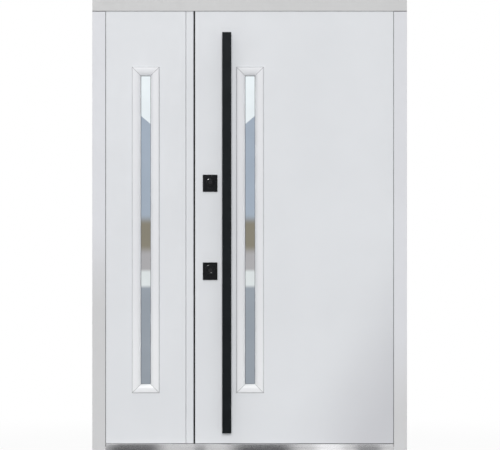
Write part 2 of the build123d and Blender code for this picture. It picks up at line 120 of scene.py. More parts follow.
def drift(finish, share, colour_a, colour_b):
    """The colour between two tones that a share from 0 to 1 asks for."""
    tree = finish.node_tree
    mix = tree.nodes.new("ShaderNodeMix")
    mix.data_type = "RGBA"
    tree.links.new(share, mix.inputs["Factor"])
    for socket, colour in (("A", colour_a), ("B", colour_b)):
        colour_socket = [s for s in mix.inputs if s.name == socket and s.type == "RGBA"][0]
        if isinstance(colour, tuple):
            colour_socket.default_value = (*colour, 1.0)
        else:
            tree.links.new(colour, colour_socket)
    return [s for s in mix.outputs if s.type == "RGBA"][0]


def shaded(colour, share):
    """The same colour with a share of its light taken off or added."""
    return tuple(step * share for step in colour)


def raise_grain(finish, noise, height):
    """Bump of a real height in metres."""
    tree = finish.node_tree
    bump = tree.nodes.new("ShaderNodeBump")
    bump.inputs["Distance"].default_value = height
    tree.links.new(noise, bump.inputs["Height"])
    tree.links.new(bump.outputs["Normal"], shader_of(finish).inputs["Normal"])


def set_input(finish, socket, value):
    finish.node_tree.links.new(value, shader_of(finish).inputs[socket])


def powder_coat(
    name, colour, roughness=0.36, painted_light_colour=None, painted_light_way=(0.0, 0.0, 1.0), painted_light_span=(0.0, 1.0)
):
    """Satin powder coat: cloudy tone, uneven gloss and a fine orange peel. A painted light colour,
    painted shade where darker and painted light where lighter, goes over to the main one along a way
    on the piece, between two distances in metres."""
    finish = new_finish(name, colour, roughness)
    cloud = spread(finish, grain(finish, 2.5), 0.0, 1.0)
    tone = drift(finish, cloud, shaded(colour, 0.985), shaded(colour, 1.015))
    # Painted light: a darker colour here is painted shade, a lighter one painted light, laid along the
    # piece.
    if painted_light_colour:
        tree = finish.node_tree
        along = tree.nodes.new("ShaderNodeVectorMath")
        along.operation = "DOT_PRODUCT"
        along.inputs[1].default_value = painted_light_way
        tree.links.new(place_on_piece(finish), along.inputs[0])
        share = spread(finish, along.outputs["Value"], 0.0, 1.0, *painted_light_span)
        tone = drift(finish, share, painted_light_colour, tone)
    set_input(finish, "Base Color", tone)
    gloss = spread(finish, grain(finish, 30.0), roughness - 0.04, roughness + 0.05)
    set_input(finish, "Roughness", gloss)
    raise_grain(finish, grain(finish, 700.0, detail=1.0), 0.00002)
    return finish


def dress(finish, *names):
    """Gives CAD nodes their finish."""
    for name in names:
        slots = nodes[name].data.materials
        slots.clear()
        slots.append(finish)


jamb_white = screen_tone(219, 220, 224)
# Painted shade: the jambs grey off towards the floor.
jamb_painted_shade_grey = screen_tone(205, 205, 206)
# Painted shade: the head comes out a shade greyer than the jambs.
head_painted_shade_grey = screen_tone(202, 202, 202)
for side, painted_light_span in (("left", (0.62, 1.05)), ("right", (0.12, 0.6))):
    jamb_paint_and_painted_shade = powder_coat(f"{side}_jamb_paint_and_painted_shade", jamb_white, painted_light_colour=jamb_painted_shade_grey, painted_light_span=painted_light_span)
    dress(jamb_paint_and_painted_shade, f"{side}_jamb")
head_paint_and_painted_shade = powder_coat("head_paint_and_painted_shade", head_painted_shade_grey)
dress(head_paint_and_painted_shade, "head")

# Anchor caps. White plastic discs with a rounded rim, pressed into the anchor holes in the jambs
# once the frame is fixed, where the leaf covers them when it is shut.


def seat(point, outward):
    """Where a small piece sits, with its own z pointing out of the surface that carries it."""
    turn = Vector((0, 0, 1)).rotation_difference(Vector(outward)).to_matrix().to_4x4()
    return Matrix.Translation(point) @ turn


round_steps = 24


def hexagon_reach(angle, half_width):
    """How far a hexagon reaches from its middle at an angle."""
    return half_width / math.cos(angle % (math.pi / 3) - math.pi / 6)


def turn_piece(mesh, place, rings, steps=round_steps):
    """Adds a closed turned piece. A ring is a radius and a height over the seat, and one with a
    third value is hexagonal, with the radius as half its width across the flats."""
    loops = []
    for radius, height, *hexagonal in rings:
        loop = []
        for step in range(steps):
            angle = 2 * math.pi * step / steps
            reach = hexagon_reach(angle, radius) if hexagonal else radius
            point = Vector((reach * math.cos(angle), reach * math.sin(angle), height))
            loop.append(mesh.verts.new(place @ point))
        loops.append(loop)
    for low, high in zip(loops, loops[1:]):
        for step in range(steps):
            after = (step + 1) % steps
            mesh.faces.new((low[step], low[after], high[after], high[step]))
    mesh.faces.new(reversed(loops[0]))
    mesh.faces.new(loops[-1])


def finish_piece(name, mesh, finish, body, sharp_angle=35.0):
    """Turns a mesh into a piece that rides on a body."""
    bmesh.ops.recalc_face_normals(mesh, faces=mesh.faces)
    data = bpy.data.meshes.new(name)
    mesh.to_mesh(data)
    mesh.free()
    data.shade_smooth()
    data.set_sharp_from_angle(angle=math.radians(sharp_angle))
    data.materials.append(finish)
    piece = bpy.data.objects.new(name, data)
    bpy.context.scene.collection.objects.link(piece)
    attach(piece, body)


cap_radius = 0.0085
cap_height = 0.0014
cap_rim = 0.0006
cap_shoulder = 0.85
cap_flat = 0.4
tread_low, tread_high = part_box("threshold")
cap_plastic = new_finish("cap_plastic", jamb_white, 0.45)
cap_cloud = spread(cap_plastic, grain(cap_plastic, 60.0), 0.0, 1.0)
set_input(cap_plastic, "Base Color", drift(cap_plastic, cap_cloud, shaded(jamb_white, 0.96), jamb_white))
raise_grain(cap_plastic, grain(cap_plastic, 1500.0), 0.00001)
anchor_caps = bmesh.new()
for mount in frame["record"]["mounts"]:
    if mount["kind"] == "bolt_pattern":
        side = mount["axis"][0]
        wall_x = tread_high.x if side > 0 else tread_low.x
        for end in (-0.5, 0.5):
            z = mount["pos_m"][2] + end * mount["dims"]["spacing_y_mm"] / 1000
            place = seat((wall_x, mount["pos_m"][1], z), (-side, 0, 0))
            rings = (
                (cap_radius, 0.0),
                (cap_radius, cap_rim),
                (cap_shoulder * cap_radius, cap_shoulder * cap_height),
                (cap_flat * cap_radius, cap_height),
            )
            turn_piece(anchor_caps, place, rings)
finish_piece("anchor_caps", anchor_caps, cap_plastic, "door_frame", 60.0)

# Threshold. A stainless section with an upstand in line with the stops and a grooved tread, ground
# lengthwise, set in the floor between the feet of the jambs with countersunk screws.


def ground_steel(name, colour, roughness, along, scratch=0.000006):
    """Metal ground in one direction: fine lines, cloudy polish and a few broader streaks."""
    finish = new_finish(name, colour, roughness, metallic=1.0)
    lines = grain(finish, 700.0, along=along, detail=3.0)
    streaks = grain(finish, 60.0, along=along)
    tone = drift(finish, spread(finish, streaks, 0.0, 1.0), shaded(colour, 0.93), shaded(colour, 1.05))
    set_input(finish, "Base Color", tone)
    set_input(finish, "Roughness", spread(finish, lines, roughness - 0.04, roughness + 0.08))
    raise_grain(finish, lines, scratch)
    return finish


across_x = (0.01, 1.0, 1.0)
sill_steel = ground_steel("sill_steel", (0.64, 0.64, 0.645), 0.16, across_x)
dress(sill_steel, "threshold")

screw_steel = ground_steel("screw_steel", (0.55, 0.55, 0.56), 0.26, (1.0, 1.0, 1.0))
screw_root = -0.0004
screw_edge = 0.00015
screw_crown = 0.0004
screw_flat = 0.92
socket_share = 0.42
socket_rim = 1.2
socket_depth = 0.0003


def socket_screw(mesh, point, outward, radius):
    """Countersunk screw with a hexagon socket, sunk so that only its low crown stands proud."""
    socket = socket_share * radius
    rings = (
        (radius, screw_root),
        (radius, screw_edge),
        (screw_flat * radius, screw_crown),
        (socket_rim * socket, screw_crown),
        (socket, socket_depth, True),
        (socket, -socket_depth, True),
    )
    turn_piece(mesh, seat(point, outward), rings)


tread_top = 0.015
tread_screw_radius = 0.0042
tread_screw_inset = 0.0058
tread_screw_y = tread_high.y - tread_screw_inset
tread_screw_count = 6
tread_screw_end = 0.09
tread_run = tread_high.x - tread_low.x - 2 * tread_screw_end
tread_screws = bmesh.new()
for step in range(tread_screw_count):
    share = step / (tread_screw_count - 1)
    point = (tread_low.x + tread_screw_end + share * tread_run, tread_screw_y, tread_top)
    socket_screw(tread_screws, point, (0, 0, 1), tread_screw_radius)
finish_piece("tread_screws", tread_screws, screw_steel, "door_frame")

# Seals. Strips of black rubber pushed on to the backs of the stops and the edge of the side leaf,
# extruded in one length each and cut to meet at the corners.


def soft_rubber(name, colour, specular=0.35):
    finish = new_finish(name, colour, 0.62, specular=specular)
    bloom = spread(finish, grain(finish, 40.0), 0.0, 1.0)
    set_input(finish, "Base Color", drift(finish, bloom, shaded(colour, 0.8), shaded(colour, 1.3)))
    set_input(finish, "Roughness", spread(finish, grain(finish, 160.0), 0.55, 0.7))
    raise_grain(finish, grain(finish, 1200.0), 0.00002)
    return finish


def straight_length(mesh, section, start, end, upright=True):
    """A straight length of a strip. Its section gives x and y when it stands, z and y when it lies."""
    ends = []
    for along in (start, end):
        points = [(side, y, along) if upright else (along, y, side) for side, y in section]
        ends.append([mesh.verts.new(point) for point in points])
    for step in range(len(section)):
        after = (step + 1) % len(section)
        mesh.faces.new((ends[0][step], ends[0][after], ends[1][after], ends[1][step]))
    mesh.faces.new(ends[0])
    mesh.faces.new(reversed(ends[1]))


seal_rubber = soft_rubber("seal_rubber", (0.006, 0.006, 0.007), 0.15)
dress(seal_rubber, "frame_seal", "meeting_seal")

daylight_half = 0.6485
lip_reach = 0.0017
sill_lip_reach = 0.0020
lip_root = 0.0005
lip_round = 0.0005
lip_front_y = -0.0237
lip_clearance = 0.0002
lip_back_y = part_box("main_outer_skin")[0].y - lip_clearance


def lip_section(edge, toward_middle, reach):
    """The lip of a seal that reaches past the edge of its stop towards the middle of the opening."""
    root = edge - toward_middle * lip_root
    tip = edge + toward_middle * reach
    return (
        (root, lip_front_y),
        (tip - toward_middle * lip_round, lip_front_y),
        (tip, lip_front_y + lip_round),
        (tip, lip_back_y),
        (root, lip_back_y),
    )


sill_top = tread_high.z
head_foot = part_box("head")[0].z
seal_lips = bmesh.new()
for side in (-1, 1):
    section = lip_section(side * daylight_half, -side, lip_reach)
    straight_length(seal_lips, section, sill_top, head_foot)
section = lip_section(sill_top, 1, sill_lip_reach)
straight_length(seal_lips, section, lip_reach - daylight_half, daylight_half - lip_reach, upright=False)
finish_piece("seal_lips", seal_lips, seal_rubber, "door_frame")

# Corner joints. A line of dark sealant drawn across each jamb where it meets the head, flush with the
# paint, that closes the joint of the two profiles. Its dark is partly painted shade, standing in for
# the shadow in the open joint.
joint_half = 0.0013
joint_proud = 0.0001
joint_root = 0.0012
joint_drop = 0.0011
joint_start = 0.001
joint_end = 0.0005
joint_z = head_foot - joint_drop
# Painted shade: the dark joint line stands in for the shadow in the joint.
joint_rubber_and_shade = soft_rubber("joint_rubber_and_shade", (0.02, 0.02, 0.021), 0.15)
joint_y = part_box("left_jamb")[0].y
corner_joints = bmesh.new()
for side in (-1, 1):
    near_x = side * (daylight_half + joint_start)
    far_x = side * (cad_high.x - joint_end)
    section = (
        (near_x, joint_y - joint_proud),
        (far_x, joint_y - joint_proud),
        (far_x, joint_y + joint_root),
        (near_x, joint_y + joint_root),
    )
    straight_length(corner_joints, section, joint_z - joint_half, joint_z + joint_half)
finish_piece("corner_joints", corner_joints, joint_rubber_and_shade, "door_frame")

# Hinges. Three lift-off hinges a leaf, of bright zinc-plated steel: the lower halves carry the
# pins and are screwed to the jamb, the upper halves hang on them and are screwed to the leaf.
hinge_steel = ground_steel("hinge_steel", (0.52, 0.52, 0.53), 0.3, (1.0, 1.0, 0.05), 0.000004)
knuckle_radius = 0.009
hinge_plate_thickness = 0.004
half_height = 0.070
hinge_count = 3
hinge_screw_radius = 0.0045
hinge_screw_shares = (0.2, 0.5, 0.8)


def screw_hinge_halves(node, piece_name, body):
    """Screws down the middle of the bare part of each plate in a node of three hinge halves."""
    low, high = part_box(node)
    reaches_right = node in ("main_hinge_frame_halves", "side_hinge_leaf_halves")
    pin_x = low.x + knuckle_radius if reaches_right else high.x - knuckle_radius
    free_x = high.x if reaches_right else low.x
    screw_x = (free_x + pin_x + math.copysign(knuckle_radius, free_x - pin_x)) / 2
    face_y = low.y + hinge_plate_thickness
    leaf_low, leaf_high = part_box(node.replace("frame", "leaf"))
    pitch = (leaf_high.z - leaf_low.z - half_height) / (hinge_count - 1)
    screws = bmesh.new()
    for step in range(hinge_count):
        start = low.z + step * pitch
        for share in hinge_screw_shares:
            point = (screw_x, face_y, start + share * half_height)
            socket_screw(screws, point, (0, 1, 0), hinge_screw_radius)
    finish_piece(piece_name, screws, screw_steel, body)


for leaf in ("main", "side"):
    dress(hinge_steel, f"{leaf}_hinge_frame_halves", f"{leaf}_hinge_leaf_halves")
    screw_hinge_halves(f"{leaf}_hinge_frame_halves", f"{leaf}_hinge_frame_screws", "door_frame")
    screw_hinge_halves(f"{leaf}_hinge_leaf_halves", f"{leaf}_hinge_leaf_screws", f"{leaf}_leaf")

# Leaves. Each is a pan of 1.5 mm galvanised sheet closed by a flat inner sheet over a core of
# mineral wool, and powder coated white after it is welded up. Outside, painted shade greys the
# main leaf off a little towards the lower corner on its hinge side.
leaf_white = screen_tone(222, 224, 227)
# Painted shade: the main leaf greys off towards its lower corner on the hinge side.
corner_painted_shade_grey = screen_tone(198, 199, 203)
leaf_paint = powder_coat("leaf_paint", leaf_white)
main_leaf_paint_and_painted_shade = powder_coat(
    "main_leaf_paint_and_painted_shade",
    leaf_white,
    painted_light_colour=corner_painted_shade_grey,
    painted_light_way=(-0.75, 0.0, 0.45),
    painted_light_span=(-0.43, -0.03),
)
dress(main_leaf_paint_and_painted_shade, "main_outer_skin")
dress(leaf_paint, "main_inner_skin", "side_outer_skin", "side_inner_skin", "meeting_stile")

wool_colour = (0.5, 0.43, 0.27)
mineral_wool = new_finish("mineral_wool", wool_colour, 0.95, specular=0.1)
fibres = grain(mineral_wool, 220.0, along=(1.0, 0.2, 1.0), detail=5.0)
fibre_share = spread(mineral_wool, fibres, 0.0, 1.0)
wool_tone = drift(mineral_wool, fibre_share, shaded(wool_colour, 0.6), shaded(wool_colour, 1.2))
set_input(mineral_wool, "Base Color", wool_tone)
raise_grain(mineral_wool, fibres, 0.0006)
dress(mineral_wool, "main_core", "side_core")

# Window beads. Four mitred bars round each window, rolled in steel to a rounded rim that falls
# away to the glass, painted with the leaf and clipped on from both sides.
bead_white = screen_tone(224, 225, 228)
# Painted light: the beads go whiter towards the floor.
bead_painted_light_white = screen_tone(231, 232, 234)
bead_paint = powder_coat("bead_paint", bead_white, 0.5, painted_light_colour=bead_painted_light_white, painted_light_span=(0.35, 0.9))
for leaf in ("main", "side"):
    dress(bead_paint, f"{leaf}_outer_bead", f"{leaf}_inner_bead")

# Bead gaskets and glazing strips. Grey rubber all round each window on both faces: a thin lip under
# the rim of the bead, and a wedge pressed between the bead and the glass, mitred at the corners. The
# lip's grey is partly painted shade, standing in for the contact shadow of the bead on the leaf.
bead_width = 0.038
bead_height = 0.010
gasket_section = ((-0.0010, 0.0), (-0.0010, 0.0006), (-0.0006, 0.0010), (0.0010, 0.0010), (0.0010, 0.0))
strip_section = (
    (bead_width, 0.0),
    (bead_width, 0.0028),
    (bead_width + 0.0009, 0.0028),
    (bead_width + 0.0022, 0.0009),
    (bead_width + 0.0022, 0.0),
)
# Painted shade: the gasket lip's grey darkens the line where each bead meets the leaf.
gasket_rubber_and_shade = soft_rubber("gasket_rubber_and_shade", (0.2, 0.203, 0.21))
strip_rubber = soft_rubber("strip_rubber", (0.13, 0.133, 0.138))
four_corners = ((-1, -1), (1, -1), (1, 1), (-1, 1))


def rubber_ring(mesh, bead_low, bead_high, face_y, outward, section):
    """A closed ring round a window. Its section gives distances in from the rim of the bead and
    heights over a face."""
    middle_x = (bead_low.x + bead_high.x) / 2
    middle_z = (bead_low.z + bead_high.z) / 2
    half_x = (bead_high.x - bead_low.x) / 2
    half_z = (bead_high.z - bead_low.z) / 2
    loops = []
    for inset, height in section:
        y = face_y + outward * height
        loops.append([
            mesh.verts.new((middle_x + sx * (half_x - inset), y, middle_z + sz * (half_z - inset)))
            for sx, sz in four_corners
        ])
    for step, loop in enumerate(loops):
        after = loops[(step + 1) % len(loops)]
        for corner in range(4):
            beside = (corner + 1) % 4
            mesh.faces.new((loop[corner], loop[beside], after[beside], after[corner]))


for leaf in ("main", "side"):
    bead_low, bead_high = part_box(f"{leaf}_outer_bead")
    skin_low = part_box(f"{leaf}_outer_skin")[0]
    skin_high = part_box(f"{leaf}_inner_skin")[1]
    glass_low, glass_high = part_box(f"{leaf}_glass")
    gaskets = bmesh.new()
    strips = bmesh.new()
    for face_y, glass_y, outward in ((skin_low.y, glass_low.y, -1), (skin_high.y, glass_high.y, 1)):
        rubber_ring(gaskets, bead_low, bead_high, face_y, outward, gasket_section)
        rubber_ring(strips, bead_low, bead_high, glass_y, outward, strip_section)
    finish_piece(f"{leaf}_bead_gaskets", gaskets, gasket_rubber_and_shade, f"{leaf}_leaf")
    finish_piece(f"{leaf}_glazing_strips", strips, strip_rubber, f"{leaf}_leaf")

# Mitre seams. A fine line of grey sealant drawn along each mitre of the beads, from the rim over the
# crest and down to the glass, that closes the gap between the bars. Its grey is partly painted
# shade, standing in for the shade in the mitre.
seam_half = 0.0008
seam_proud = 0.00006
seam_crown = 0.00012
seam_root = 0.0006
seam_fill = 0.35
rim_radius = 0.006
crest = 0.015
bead_drop = 0.003
fall = bead_height + bead_drop
fall_run = bead_width - crest
fall_radius = (fall_run ** 2 + fall ** 2) / (2 * fall)
curve_steps = 8
# Painted shade: the seam grey darkens each mitre line.
seam_grey_and_shade = screen_tone(150, 151, 153)
seam_sealant_and_shade = new_finish("seam_sealant_and_shade", seam_grey_and_shade, 0.6, specular=0.3)
sealant_cloud = spread(seam_sealant_and_shade, grain(seam_sealant_and_shade, 90.0), 0.0, 1.0)
sealant_tone = drift(seam_sealant_and_shade, sealant_cloud, shaded(seam_grey_and_shade, 0.85), shaded(seam_grey_and_shade, 1.1))
set_input(seam_sealant_and_shade, "Base Color", sealant_tone)
raise_grain(seam_sealant_and_shade, grain(seam_sealant_and_shade, 900.0), 0.00003)


def bead_face(in_from_rim):
    """Height of the face of a bead over the leaf, at a distance in from its rim."""
    if in_from_rim < rim_radius:
        return bead_height - rim_radius + math.sqrt(rim_radius ** 2 - (rim_radius - in_from_rim) ** 2)
    run = max(in_from_rim - crest, 0.0)
    return bead_height - fall_radius + math.sqrt(fall_radius ** 2 - run ** 2)


side_step = seam_half / math.sqrt(2)
seam_places = [side_step]
for step in range(3, curve_steps + 1):
    seam_places.append(rim_radius * (1 - math.cos(math.radians(90.0 * step / curve_steps))))
for step in range(curve_steps + 1):
    seam_places.append(crest + fall_run * step / curve_steps)


def mitre_seam(mesh, corner, inward, face_y, outward):
    """One closed seam from a corner of the bead, with inward as the signs of its way to the glass. Its
    edges lie on the two bars, and it rounds off the hollow between them."""
    across = Vector((inward[0], 0, -inward[1])).normalized() * seam_half
    sections = []
    for place in seam_places:
        middle = bead_face(place)
        edge = bead_face(place - side_step)
        crown = middle + max(seam_fill * (edge - middle), 0.0) + seam_crown
        x = corner[0] + inward[0] * place
        z = corner[1] + inward[1] * place
        edge_point = Vector((x, face_y + outward * (edge + seam_proud), z))
        sections.append([
            mesh.verts.new(edge_point + across),
            mesh.verts.new((x, face_y + outward * crown, z)),
            mesh.verts.new(edge_point - across),
            mesh.verts.new((x, face_y + outward * (middle - seam_root), z)),
        ])
    for section, after in zip(sections, sections[1:]):
        for point in range(4):
            beside = (point + 1) % 4
            mesh.faces.new((section[point], section[beside], after[beside], after[point]))
    mesh.faces.new(sections[0])
    mesh.faces.new(reversed(sections[-1]))


for leaf in ("main", "side"):
    bead_low, bead_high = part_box(f"{leaf}_outer_bead")
    skin_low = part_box(f"{leaf}_outer_skin")[0]
    skin_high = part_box(f"{leaf}_inner_skin")[1]
    seams = bmesh.new()
    for face_y, outward in ((skin_low.y, -1), (skin_high.y, 1)):
        for x, inward_x in ((bead_low.x, 1), (bead_high.x, -1)):
            for z, inward_z in ((bead_low.z, 1), (bead_high.z, -1)):
                mitre_seam(seams, (x, z), (inward_x, inward_z), face_y, outward)
    finish_piece(f"{leaf}_mitre_seams", seams, seam_sealant_and_shade, f"{leaf}_leaf")

# Glass. Laminated safety glass with a mirror coat, so from outside it throws back the daylight
# and shows nothing of the room. The coat is a cool silver with a faint roller wave.
mirror_silver = (0.83, 0.89, 0.918)
mirror_glass = new_finish("mirror_glass", mirror_silver, 0.02, metallic=1.0)
coat_cloud = spread(mirror_glass, grain(mirror_glass, 5.0), 0.0, 1.0)
coat_tone = drift(mirror_glass, coat_cloud, shaded(mirror_silver, 0.97), shaded(mirror_silver, 1.03))
set_input(mirror_glass, "Base Color", coat_tone)
set_input(mirror_glass, "Roughness", spread(mirror_glass, grain(mirror_glass, 12.0), 0.004, 0.018))
raise_grain(mirror_glass, grain(mirror_glass, 4.0, detail=0.0), 0.00003)
dress(mirror_glass, "main_glass", "side_glass")

# Pull bar. A flat aluminium bar nearly as tall as the leaf, with its edges broken, on round posts
# that are bolted through the leaf, all in fine-textured black powder coat.


def black_coat(name, colour, roughness, specular, texture_height):
    finish = new_finish(name, colour, roughness, specular=specular)
    cloud = spread(finish, grain(finish, 9.0), 0.0, 1.0)
    set_input(finish, "Base Color", drift(finish, cloud, shaded(colour, 0.85), shaded(colour, 1.15)))
    set_input(finish, "Roughness", spread(finish, grain(finish, 45.0), roughness - 0.05, roughness + 0.07))
    raise_grain(finish, grain(finish, 1400.0, detail=2.0), texture_height)
    return finish


bar_black = black_coat("bar_black", (0.0038, 0.0057, 0.0071), 0.48, 0.1, 0.00004)
dress(bar_black, "pull_bar", "pull_bar_posts")

# Lock plates. Forged security plates outside in glossy black, with a domed rose pressed over the
# upper boss, a dished one over the lower collar, and key plugs with a black plating.
lock_black = black_coat("lock_black", (0.0065, 0.0072, 0.008), 0.2, 0.17, 0.00001)
dress(lock_black, "upper_lock_plate", "lower_lock_plate")
plug_black = ground_steel("plug_black", (0.035, 0.035, 0.037), 0.3, (1.0, 1.0, 1.0))
dress(plug_black, "key_plugs")

plate_thickness = 0.010
rose_steps = 64
dome_steps = 10
rose_root = -0.0005
rose_close = 0.0001
dome_radius = 0.0195
dome_hole = 0.0088
dome_height = 0.0062
boss_height = 0.0035
upper_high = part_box("upper_lock_plate")[1]
lower_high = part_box("lower_lock_plate")[1]
plug_low, plug_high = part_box("key_plugs")
plug_radius = (plug_high.x - plug_low.x) / 2
lock_x = (plug_low.x + plug_high.x) / 2


def quarter_round(inner, foot, width, rise):
    """A quarter of an ellipse, from its foot outside to its top at the inner radius."""
    rings = []
    for step in range(dome_steps + 1):
        turn = math.radians(90.0 * step / dome_steps)
        rings.append((inner + width * math.cos(turn), foot + rise * math.sin(turn)))
    return rings


dome = [(dome_radius, 0.0)]
dome += quarter_round(dome_hole, 0.0, dome_radius - dome_hole, dome_height)
dome += [(dome_hole, boss_height + rose_close)]
rim_reach = 0.0216
rim_foot = 0.0006
rim_round = 0.0034
dished = [(rim_reach + rim_round, rose_root)]
dished += quarter_round(rim_reach, rim_foot, rim_round, rim_round)
dished += [
    (0.0150, 0.0032),
    (0.0126, 0.0028),
    (0.0113, 0.0022),
    (0.0104, 0.0014),
    (0.0098, 0.0005),
    (0.0095, -0.0009),
]
roses = bmesh.new()
upper_place = seat((lock_x, upper_high.y - plate_thickness, plug_high.z - plug_radius), (0, -1, 0))
lower_place = seat((lock_x, lower_high.y - plate_thickness, plug_low.z + plug_radius), (0, -1, 0))
turn_piece(roses, upper_place, dome, rose_steps)
turn_piece(roses, lower_place, dished, rose_steps)
finish_piece("lock_roses", roses, lock_black, "main_leaf", 50.0)

# Inside furniture. A long plate with the lever on its rose, a short plate over the upper lock and
# two turn knobs, in the same black, held by screws through the leaf.
dress(lock_black, "inside_lock_plate", "inside_upper_plate", "inside_lever", "turn_knobs")
inside_screw_radius = 0.004
inside_screw_inset = 0.009
plate_screws = bmesh.new()
for plate in ("inside_lock_plate", "inside_upper_plate"):
    low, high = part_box(plate)
    for z in (low.z + inside_screw_inset, high.z - inside_screw_inset):
        point = ((low.x + high.x) / 2, low.y + plate_thickness, z)
        socket_screw(plate_screws, point, (0, 1, 0), inside_screw_radius)
finish_piece("inside_plate_screws", plate_screws, lock_black, "main_leaf")

# Lock edge. A stainless forend let into the sloping edge of the main leaf, with its bolts drawn
# back, and across from it the strike plate and the two flush bolts of the side leaf.
across_z = (1.0, 1.0, 0.01)
lock_steel = ground_steel("lock_steel", (0.58, 0.58, 0.585), 0.24, across_z)
bolt_steel = ground_steel("bolt_steel", (0.66, 0.66, 0.67), 0.18, (1.0, 1.0, 1.0))
dress(lock_steel, "lock_forend", "strike_plate", "flush_bolts")
dress(bolt_steel, "lock_bolts")

edge_screw_radius = 0.0038
forend_thickness = 0.003
leaf_low, leaf_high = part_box("main_inner_skin")
outer_skin_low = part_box("main_outer_skin")[0]
edge_run = Vector((leaf_low.x - outer_skin_low.x, leaf_high.y - outer_skin_low.y, 0)).normalized()
edge_outward = Vector((0, 0, 1)).cross(edge_run)
forend_low, forend_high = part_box("lock_forend")
forend_face = Vector(((forend_low.x + forend_high.x) / 2, (forend_low.y + forend_high.y) / 2, 0))
forend_face += edge_outward * forend_thickness / 2
forend_screw_shares = (0.02, 0.27, 0.6, 0.98)
forend_screws = bmesh.new()
strike_screws = bmesh.new()
strike_low, strike_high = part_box("strike_plate")
strike_y = (strike_low.y + strike_high.y) / 2
for share in forend_screw_shares:
    z = forend_low.z + share * (forend_high.z - forend_low.z)
    socket_screw(forend_screws, (forend_face.x, forend_face.y, z), edge_outward, edge_screw_radius)
    socket_screw(strike_screws, (strike_high.x, strike_y, z), (1, 0, 0), edge_screw_radius)
flush_low, flush_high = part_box("flush_bolts")
flush_bolt_length = 0.190
flush_screw_inset = 0.012
for start in (flush_low.z, flush_high.z - flush_bolt_length):
    for z in (start + flush_screw_inset, start + flush_bolt_length - flush_screw_inset):
        socket_screw(strike_screws, (flush_high.x, strike_y, z), (1, 0, 0), edge_screw_radius)
finish_piece("forend_screws", forend_screws, screw_steel, "main_leaf")
finish_piece("strike_screws", strike_screws, screw_steel, "side_leaf")

# Floor. A wide pale studio floor, white to the camera and in reflections, that takes the soft
# shadow of the door near it and goes over to plain white further off.
floor_half = 14.0
floor_white = 0.95
floor_fade = (0.9, 3.5)
floor_grey = 0.55
floor_drop = 0.0005


def flat_sheet(name, corners, finish):
    """A sheet of the set, which isn't part of the door."""
    data = bpy.data.meshes.new(name)
    data.from_pydata(corners, [], [tuple(range(len(corners)))])
    data.materials.append(finish)
    sheet = bpy.data.objects.new(name, data)
    bpy.context.scene.collection.objects.link(sheet)
    return sheet


def combined(tree, operation, first, second):
    """The value that a calculation makes of two others."""
    calculation = tree.nodes.new("ShaderNodeMath")
    calculation.operation = operation
    tree.links.new(first, calculation.inputs[0])
    tree.links.new(second, calculation.inputs[1])
    return calculation.outputs["Value"]


def seen_directly(tree):
    """1 for what the camera sees directly, in a mirror or through glass, and 0 for soft light."""
    path = tree.nodes.new("ShaderNodeLightPath")
    total = path.outputs["Is Camera Ray"]
    for ray in ("Is Glossy Ray", "Is Transmission Ray"):
        total = combined(tree, "MAXIMUM", total, path.outputs[ray])
    return total


floor_finish = bpy.data.materials.new("studio_floor")
floor_finish.use_nodes = True
floor_tree = floor_finish.node_tree
floor_tree.nodes.clear()
floor_soft = floor_tree.nodes.new("ShaderNodeBsdfDiffuse")
floor_soft.inputs["Color"].default_value = (floor_grey, floor_grey, floor_grey, 1.0)
floor_glow = floor_tree.nodes.new("ShaderNodeEmission")
floor_reach = floor_tree.nodes.new("ShaderNodeVectorMath")
floor_reach.operation = "LENGTH"
floor_tree.links.new(place_on_piece(floor_finish), floor_reach.inputs[0])
floor_shine = spread(floor_finish, floor_reach.outputs["Value"], floor_white, 1.0, *floor_fade)
floor_share = combined(floor_tree, "MULTIPLY", seen_directly(floor_tree), floor_shine)
floor_mix = floor_tree.nodes.new("ShaderNodeMixShader")
floor_out = floor_tree.nodes.new("ShaderNodeOutputMaterial")
floor_tree.links.new(floor_share, floor_mix.inputs["Fac"])
floor_tree.links.new(floor_soft.outputs["BSDF"], floor_mix.inputs[1])
floor_tree.links.new(floor_glow.outputs["Emission"], floor_mix.inputs[2])
floor_tree.links.new(floor_mix.outputs["Shader"], floor_out.inputs["Surface"])
floor_z = cad_low.z - floor_drop
floor_corners = [(sx * floor_half, sy * floor_half, floor_z) for sx, sy in four_corners]
flat_sheet("floor", floor_corners, floor_finish)

# Cards. Screens that stand or lie in front of the door, glow and show only in what mirrors, as
# painted reflections: a wide one in soft bands of tone, notched at the top, for the windows, dark
# strips on the floor for the sill and a bright one for painted glints on the lock roses.


def card_finish(name, colour, soft_share=0.0):
    """A glowing card. With a soft share it fades to white over that part of its width at each end."""
    finish = bpy.data.materials.new(name)
    finish.use_nodes = True
    tree = finish.node_tree
    tree.nodes.clear()
    glow = tree.nodes.new("ShaderNodeEmission")
    glow.inputs["Color"].default_value = (*colour, 1.0)
    out = tree.nodes.new("ShaderNodeOutputMaterial")
    tree.links.new(glow.outputs["Emission"], out.inputs["Surface"])
    if soft_share:
        place = tree.nodes.new("ShaderNodeTexCoord")
        parts = tree.nodes.new("ShaderNodeSeparateXYZ")
        tree.links.new(place.outputs["Generated"], parts.inputs["Vector"])
        near_end = spread(finish, parts.outputs["X"], 0.0, 1.0, 0.0, soft_share)
        far_end = spread(finish, parts.outputs["X"], 1.0, 0.0, 1.0 - soft_share, 1.0)
        both = combined(tree, "MULTIPLY", near_end, far_end)
        faded = drift(finish, both, (1.0, 1.0, 1.0), colour)
        tree.links.new(faded, glow.inputs["Color"])
    return finish


def only_in_reflections(card):
    card.visible_camera = False
    card.visible_diffuse = False
    card.visible_transmission = False
    card.visible_volume_scatter = False
    card.visible_shadow = False


